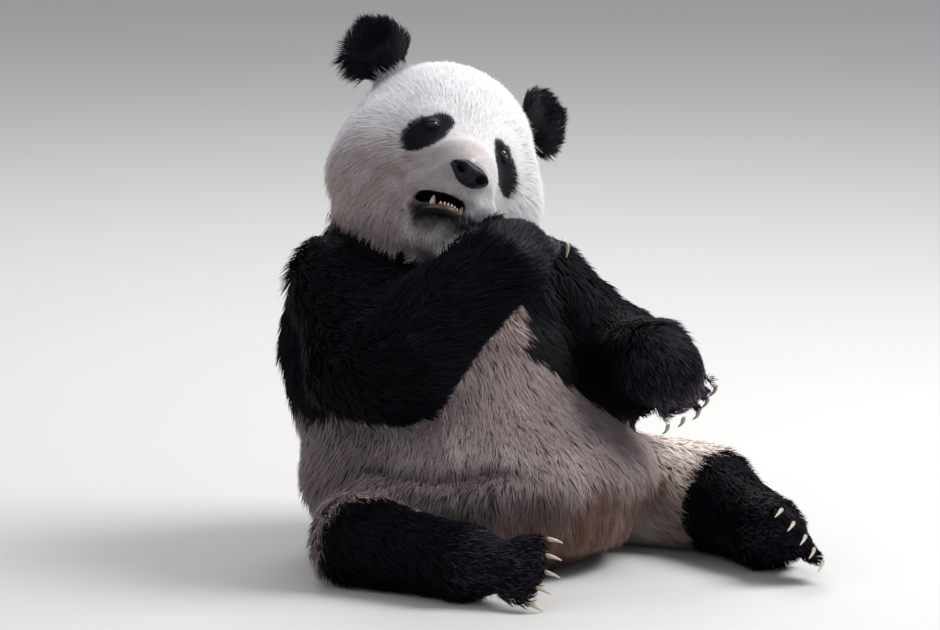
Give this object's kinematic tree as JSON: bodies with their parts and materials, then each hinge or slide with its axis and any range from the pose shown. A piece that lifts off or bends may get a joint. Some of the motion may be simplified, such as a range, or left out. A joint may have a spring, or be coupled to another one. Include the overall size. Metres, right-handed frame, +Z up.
{
  "type": "sitting giant panda",
  "caption": "Life-size giant panda sitting on its rump, one forepaw raised to its open mouth and the other held out over its thigh.",
  "frame": {"origin": "on the floor, under the middle of the whole animal's bounding box", "axes": "+Z up from the floor, -Y the way the belly and the legs face, so the animal's own right side is at -X"},
  "size_m": [0.6584, 0.731, 0.7036],
  "materials": {
    "white_coat": "dense matt fur, cool white on the crown, warmer on cheeks and neck",
    "taupe_coat": "matt fur, white in life but stained grey-brown by the ground, reddish at the groin",
    "black_coat": "matt bluish-black fur with a soft sheen, brown at the edges of the paws",
    "nose_skin": "damp pebbled skin",
    "eye": "wet and clear over a dark brown iris",
    "tooth": "smooth ivory",
    "claw": "worn pale horn"
  },
  "bodies": {
    "root": {"claw_forepaw_left_1": "claw", "claw_forepaw_left_2": "claw", "claw_forepaw_left_3": "claw", "claw_forepaw_left_4": "claw", "claw_forepaw_left_5": "claw", "claw_forepaw_right_1": "claw", "claw_forepaw_right_2": "claw", "claw_forepaw_right_3": "claw", "claw_forepaw_right_4": "claw", "claw_forepaw_right_5": "claw", "claw_hind_foot_left_1": "claw", "claw_hind_foot_left_2": "claw", "claw_hind_foot_left_3": "claw", "claw_hind_foot_left_4": "claw", "claw_hind_foot_left_5": "claw", "claw_hind_foot_right_1": "claw", "claw_hind_foot_right_2": "claw", "claw_hind_foot_right_3": "claw", "claw_hind_foot_right_4": "claw", "claw_hind_foot_right_5": "claw", "ear_left": "black_coat", "ear_right": "black_coat", "eye_left": "eye", "eye_patch_left": "black_coat", "eye_patch_right": "black_coat", "eye_right": "eye", "forearm_left": "black_coat", "forearm_right": "black_coat", "forepaw_left": "black_coat", "forepaw_right": "black_coat", "head": "white_coat", "hind_foot_left": "black_coat", "hind_foot_right": "black_coat", "lower_jaw": "white_coat", "lower_teeth": "tooth", "neck": "white_coat", "nose": "nose_skin", "shank_left": "black_coat", "shank_right": "black_coat", "shoulders": "black_coat", "tail": "white_coat", "thigh_left": "taupe_coat", "thigh_right": "taupe_coat", "trunk": "taupe_coat", "upper_arm_left": "black_coat", "upper_arm_right": "black_coat"}
  },
  "joints": []
}
